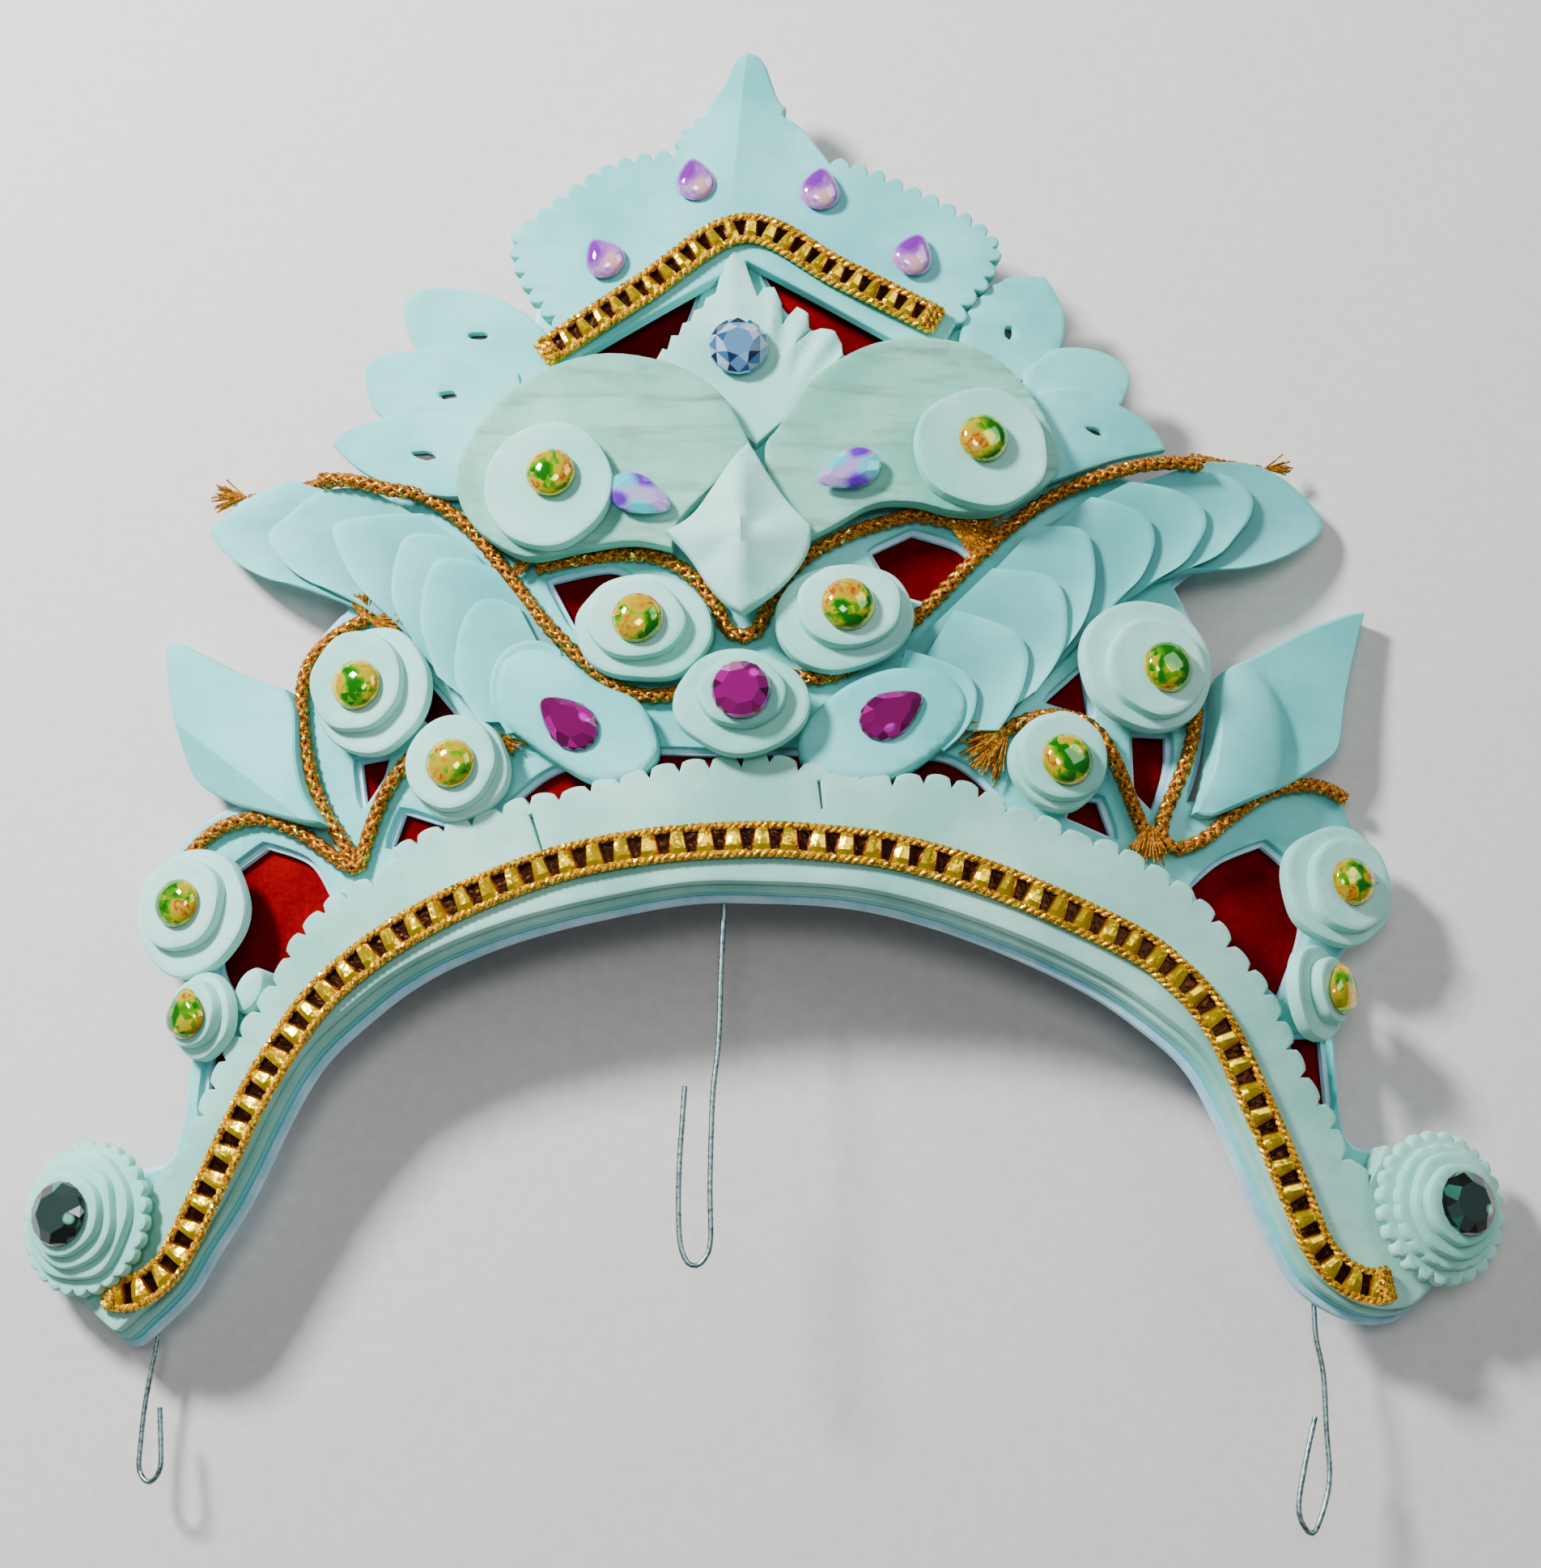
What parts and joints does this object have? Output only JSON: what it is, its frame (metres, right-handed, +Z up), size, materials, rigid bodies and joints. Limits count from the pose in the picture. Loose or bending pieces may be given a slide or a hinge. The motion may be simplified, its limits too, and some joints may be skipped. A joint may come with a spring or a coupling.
{
  "type": "bridal crown",
  "caption": "Carved pith bridal crown with an arched forehead band, gold trim and cords, winged scrollwork, cut-glass stones and wire hooks, lying on its back.",
  "frame": {"origin": "centre of the bounding box on the surface that the crown lies on", "axes": "+Z up from the surface through the face of the crown, +Y towards the crest, +X to the right of the face"},
  "size_m": [0.2482, 0.253, 0.0369],
  "materials": {
    "pith": "dry carved sola pith, white and matt",
    "card": "white card with a bluish cast",
    "crimson_paper": "deep red glazed paper",
    "gold_foil": "folded gold foil ribbon between twisted cords",
    "gold_cord": "braided amber and gold cord",
    "steel_wire": "dull galvanised wire",
    "rainbow_glass": "foil-backed cut stone with a green and gold sheen",
    "lilac_glass": "foil-backed lilac cut stone",
    "purple_glass": "foil-backed magenta cut stone",
    "clear_glass": "foil-backed clear cut stone"
  },
  "bodies": {
    "root": {"backing_sheet": "crimson_paper", "scroll_frame": "card", "forehead_band": "pith", "crest": "pith", "fan_leaf": "pith", "leaves_left": "pith", "leaves_right": "pith", "petal_left": "pith", "petal_right": "pith", "centre_kite": "pith", "side_kite_left": "pith", "side_kite_right": "pith", "wing_left": "pith", "wing_right": "pith", "inner_stack_left": "pith", "inner_stack_right": "pith", "centre_stack": "pith", "upper_stack_left": "pith", "upper_stack_right": "pith", "mid_stack_left": "pith", "mid_stack_right": "pith", "outer_stack_left": "pith", "outer_stack_right": "pith", "small_stack_left": "pith", "small_stack_right": "pith", "end_rosette_left": "pith", "end_rosette_right": "pith", "band_trim": "gold_foil", "crest_trim": "gold_foil", "v_cord": "gold_cord", "wing_cord": "gold_cord", "side_cord_left": "gold_cord", "side_cord_right": "gold_cord", "hook_centre": "steel_wire", "hook_left": "steel_wire", "hook_right": "steel_wire", "crest_pear_1": "lilac_glass", "crest_pear_2": "lilac_glass", "crest_pear_3": "lilac_glass", "crest_pear_4": "lilac_glass", "petal_pear_left": "lilac_glass", "petal_pear_right": "lilac_glass", "fan_stone": "clear_glass", "end_stone_left": "clear_glass", "end_stone_right": "clear_glass", "wing_pear_left": "purple_glass", "wing_pear_right": "purple_glass", "centre_stone": "purple_glass", "petal_stone_left": "rainbow_glass", "petal_stone_right": "rainbow_glass", "inner_stone_left": "rainbow_glass", "inner_stone_right": "rainbow_glass", "upper_stone_left": "rainbow_glass", "upper_stone_right": "rainbow_glass", "mid_stone_left": "rainbow_glass", "mid_stone_right": "rainbow_glass", "outer_stone_left": "rainbow_glass", "outer_stone_right": "rainbow_glass", "small_stone_left": "rainbow_glass", "small_stone_right": "rainbow_glass"}
  },
  "joints": []
}
